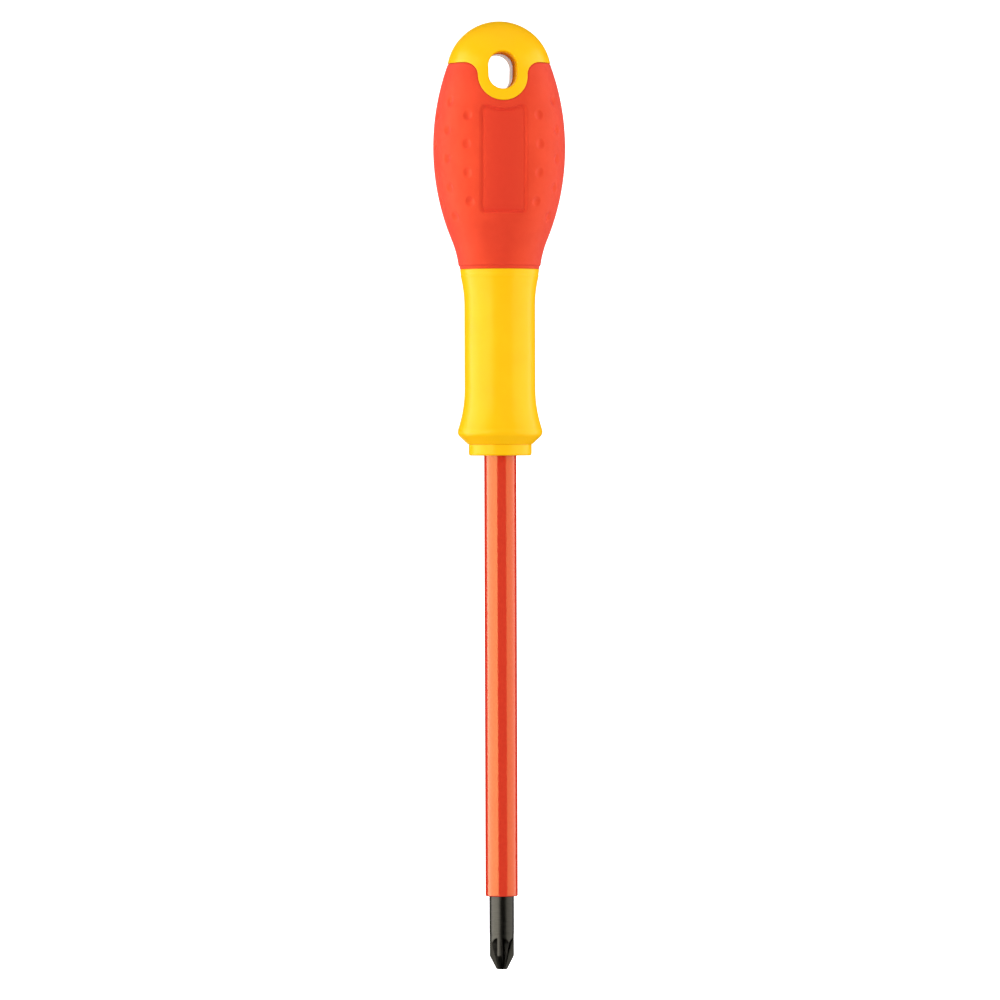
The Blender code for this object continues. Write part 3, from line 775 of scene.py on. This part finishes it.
# ---- materials ----
class Nodes:
    """A short way to build a node tree."""

    def __init__(self, name):
        self.material = bpy.data.materials.new(name)
        self.material.use_nodes = True
        self.tree = self.material.node_tree
        self.shader = self.tree.nodes["Principled BSDF"]

    def add(self, kind, settings=None, **inputs):
        node = self.tree.nodes.new(kind)
        for key, value in (settings or {}).items():
            setattr(node, key, value)
        for key, value in inputs.items():
            self.put(node.inputs[key.replace("_", " ")], value)
        return node

    def put(self, socket, value):
        if isinstance(value, bpy.types.NodeSocket):
            self.tree.links.new(value, socket)
        else:
            socket.default_value = value

    def set(self, name, value):
        self.put(self.shader.inputs[name], value)

    def place(self):
        return self.add("ShaderNodeTexCoord").outputs["Object"]

    def noise(self, scale, detail=3.0, roughness=0.5, place=None):
        node = self.add("ShaderNodeTexNoise", Scale=scale, Detail=detail, Roughness=roughness)
        self.put(node.inputs["Vector"], place or self.place())
        return node.outputs["Fac"]

    def spread(self, value, low, high, out_low, out_high):
        node = self.add("ShaderNodeMapRange", Value=value)
        node.inputs["From Min"].default_value = low
        node.inputs["From Max"].default_value = high
        node.inputs["To Min"].default_value = out_low
        node.inputs["To Max"].default_value = out_high
        return node.outputs["Result"]

    def blend(self, share, first, second):
        node = self.tree.nodes.new("ShaderNodeMix")
        node.data_type = "RGBA"
        self.put(node.inputs["Factor"], share)
        self.put(node.inputs["A"], first)
        self.put(node.inputs["B"], second)
        return node.outputs["Result"]

    def bump(self, height, strength, distance, below=None):
        node = self.add("ShaderNodeBump", Height=height, Strength=strength, Distance=distance)
        if below is not None:
            self.put(node.inputs["Normal"], below)
        return node.outputs["Normal"]


def colour(red, green, blue):
    """A display colour, 0 to 255, as the linear colour that shaders take."""
    linear = []
    for value in (red, green, blue):
        share = value / 255.0
        linear.append(share / 12.92 if share <= 0.04045 else ((share + 0.055) / 1.055) ** 2.4)
    return (*linear, 1.0)


def grip_material():
    nodes = Nodes("grip_elastomer")
    panel_smooth_and_shade = nodes.add("ShaderNodeAttribute", {"attribute_name": "smooth_panel_painted_shade"}).outputs["Fac"]
    mottle = nodes.spread(nodes.noise(180.0), 0.35, 0.65, 0.0, 1.0)
    textured = nodes.blend(mottle, colour(221, 56, 41), colour(227, 61, 44))
    # the panel's floor gets a slightly darker red than the rest of the grip: painted shade of the recess
    nodes.set("Base Color", nodes.blend(panel_smooth_and_shade, textured, colour(220, 54, 42)))
    rough = nodes.spread(nodes.noise(900.0), 0.3, 0.7, 0.5, 0.58)
    nodes.set("Roughness", rough)
    grain = nodes.noise(5200.0, 2.0)
    strength = nodes.spread(panel_smooth_and_shade, 0.0, 1.0, 0.25, 0.06)
    nodes.set("Normal", nodes.bump(grain, strength, 0.00004))
    nodes.shader.inputs["Specular IOR Level"].default_value = 0.25
    nodes.shader.inputs["Specular Tint"].default_value = (1.0, 1.0, 0.1, 1.0)
    nodes.shader.inputs["Sheen Weight"].default_value = 0.08
    nodes.shader.inputs["Sheen Roughness"].default_value = 0.4
    return nodes.material


def yellow_material(name):
    nodes = Nodes(name)
    mottle = nodes.spread(nodes.noise(120.0), 0.35, 0.65, 0.0, 1.0)
    nodes.set("Base Color", nodes.blend(mottle, colour(254, 190, 0), colour(255, 195, 4)))
    rough = nodes.spread(nodes.noise(700.0), 0.3, 0.7, 0.28, 0.36)
    added = nodes.add("ShaderNodeAttribute", {"attribute_name": "added_roughness"}).outputs["Fac"]
    total = nodes.add("ShaderNodeMath", {"operation": "ADD"})
    nodes.put(total.inputs[0], rough)
    nodes.put(total.inputs[1], added)
    nodes.set("Roughness", total.outputs["Value"])
    nodes.set("Normal", nodes.bump(nodes.noise(2600.0, 2.0), 0.12, 0.00003))
    nodes.shader.inputs["Specular IOR Level"].default_value = 0.15
    nodes.shader.inputs["Specular Tint"].default_value = (1.0, 1.0, 1.0, 1.0)
    return nodes.material


def sleeve_material():
    nodes = Nodes("sleeve_nylon")
    mottle = nodes.spread(nodes.noise(1400.0), 0.3, 0.7, 0.0, 1.0)
    nodes.set("Base Color", nodes.blend(mottle, colour(211, 54, 36), colour(217, 58, 38)))
    nodes.set("Roughness", nodes.spread(nodes.noise(2400.0), 0.3, 0.7, 0.13, 0.19))
    nodes.set("Normal", nodes.bump(nodes.noise(2400.0, 2.0), 0.04, 0.00001))
    nodes.shader.inputs["Specular IOR Level"].default_value = 0.44
    nodes.shader.inputs["Specular Tint"].default_value = (1.0, 1.0, 0.35, 1.0)
    return nodes.material


def steel_material():
    nodes = Nodes("oxide_steel")
    place = nodes.place()
    stretch = nodes.add("ShaderNodeMapping")
    nodes.put(stretch.inputs["Vector"], place)
    stretch.inputs["Scale"].default_value = (1.0, 1.0, 14.0)
    rings = nodes.noise(420.0, 4.0, 0.6, stretch.outputs["Vector"])
    tint = nodes.spread(rings, 0.3, 0.7, 0.0, 1.0)
    nodes.set("Base Color", nodes.blend(tint, colour(39, 38, 34), colour(51, 49, 44)))
    nodes.set("Metallic", 1.0)
    nodes.set("Roughness", nodes.spread(rings, 0.3, 0.7, 0.31, 0.41))
    nodes.set("Normal", nodes.bump(rings, 0.05, 0.00001))
    return nodes.material


# ---- camera, light and stage ----
CAMERA_LENS = 318.0
CAMERA_DISTANCE = 2.15
CAMERA_TURN = math.radians(-4.4)
CAMERA_ROLL = math.radians(0.19)
CAMERA_HEIGHT = 114.2 * MM
CAMERA_ASIDE = -0.085 * MM

WORLD_FILL = 0.68
BOX_DISTANCE = 0.8
BOX_HEIGHT = 1.2
BACK_GLOW = 0.75
BACK_GLOW_HALF = 0.32
BACK_GLOW_DISTANCE = 1.5
FLOOR_HALF = 3.0
FLOOR_DROP = 12.0 * MM
# name, side, length along Y, middle along Y, brightness seen in highlights, watts of soft fill
SOFT_BOXES = (("left", -1, 2.0, -0.6, 7.4, 10.8), ("right", 1, 1.44, -0.32, 3.2, 7.0))


def make_camera():
    data = bpy.data.cameras.new("camera")
    data.sensor_width = 36.0
    data.lens = CAMERA_LENS
    data.clip_start = 0.05
    data.clip_end = 20.0
    camera = bpy.data.objects.new("camera", data)
    bpy.context.scene.collection.objects.link(camera)
    sine, cosine = math.sin(CAMERA_TURN), math.cos(CAMERA_TURN)
    across = CAMERA_DISTANCE * sine + CAMERA_ASIDE * cosine
    back = -CAMERA_DISTANCE * cosine + CAMERA_ASIDE * sine
    camera.location = (across, back, CAMERA_HEIGHT)
    camera.rotation_euler = (math.pi / 2, CAMERA_ROLL, CAMERA_TURN)
    bpy.context.scene.camera = camera
    return camera


def area_light(name, place, target, size, energy):
    """A soft light that fills shade and isn't seen in reflections."""
    data = bpy.data.lights.new(name, "AREA")
    data.shape = "RECTANGLE"
    data.size, data.size_y = size
    data.energy = energy
    item = bpy.data.objects.new(name, data)
    bpy.context.scene.collection.objects.link(item)
    item.location = place
    direction = Vector(target) - Vector(place)
    item.rotation_euler = direction.to_track_quat("-Z", "Y").to_euler()
    item.visible_camera = False
    item.visible_glossy = False


def glow_panel(name, start, end, glow):
    """An upright panel between two points seen from above, which only shows in reflections."""
    low, high = MIDDLE - BOX_HEIGHT / 2, MIDDLE + BOX_HEIGHT / 2
    mesh = bpy.data.meshes.new(name)
    corners = [(*start, low), (*end, low), (*end, high), (*start, high)]
    mesh.from_pydata(corners, [], [(0, 1, 2, 3)])
    nodes = Nodes(name)
    nodes.set("Base Color", (0.0, 0.0, 0.0, 1.0))
    nodes.set("Emission Color", (1.0, 1.0, 1.0, 1.0))
    nodes.set("Emission Strength", glow)
    nodes.material.cycles.emission_sampling = "NONE"
    mesh.materials.append(nodes.material)
    panel = bpy.data.objects.new(name, mesh)
    bpy.context.scene.collection.objects.link(panel)
    panel.visible_camera = False
    panel.visible_diffuse = False
    panel.visible_shadow = False


def make_light():
    world = bpy.data.worlds.new("studio")
    bpy.context.scene.world = world
    world.use_nodes = True
    tree = world.node_tree
    background = tree.nodes["Background"]
    path = tree.nodes.new("ShaderNodeLightPath")
    level = tree.nodes.new("ShaderNodeMath")
    level.inputs[1].default_value = WORLD_FILL
    tree.links.new(path.outputs["Is Camera Ray"], level.inputs[0])
    tree.links.new(level.outputs["Value"], background.inputs["Strength"])
    world.cycles_visibility.glossy = False
    background.inputs["Color"].default_value = (1.0, 1.0, 1.0, 1.0)
    for name, side, reach, depth, glow, fill in SOFT_BOXES:
        across = side * BOX_DISTANCE
        glow_panel(name + "_glow", (across, depth - reach / 2), (across, depth + reach / 2), glow)
        place = (across, depth, MIDDLE)
        area_light(name + "_fill", place, (0.0, depth, MIDDLE), (reach, BOX_HEIGHT), fill)
    left_end = (-BACK_GLOW_HALF, BACK_GLOW_DISTANCE)
    right_end = (BACK_GLOW_HALF, BACK_GLOW_DISTANCE)
    glow_panel("back_glow", left_end, right_end, BACK_GLOW)
    middle = (0.0, 0.0, MIDDLE)
    area_light("front_fill", (0.2, -1.6, 0.5), middle, (1.2, 1.2), 1.6)
    area_light("top_fill", (0.0, -0.3, 1.5), middle, (1.4, 1.4), 2.5)


def make_floor():
    size = FLOOR_HALF
    mesh = bpy.data.meshes.new("floor")
    corners = [(-size, -size, 0.0), (size, -size, 0.0), (size, size, 0.0), (-size, size, 0.0)]
    mesh.from_pydata(corners, [], [(0, 1, 2, 3)])
    nodes = Nodes("pale_floor")
    grain = nodes.spread(nodes.noise(3.0), 0.3, 0.7, 0.0, 1.0)
    nodes.set("Base Color", nodes.blend(grain, (0.90, 0.90, 0.90, 1.0), (0.93, 0.93, 0.93, 1.0)))
    nodes.set("Roughness", 0.9)
    nodes.set("Emission Color", (1.0, 1.0, 1.0, 1.0))
    nodes.set("Emission Strength", 1.0)
    mesh.materials.append(nodes.material)
    floor = bpy.data.objects.new("floor", mesh)
    bpy.context.scene.collection.objects.link(floor)
    floor.location.z = -FLOOR_DROP
    floor.visible_glossy = False
    floor.visible_diffuse = False


make_camera()
make_light()
make_floor()
make_blade(steel_material())
make_sleeve(sleeve_material())
make_core(yellow_material("core_plastic"))
make_shell(yellow_material("shell_plastic"))
make_grip(grip_material())
bpy.context.scene.view_settings.view_transform = "Standard"
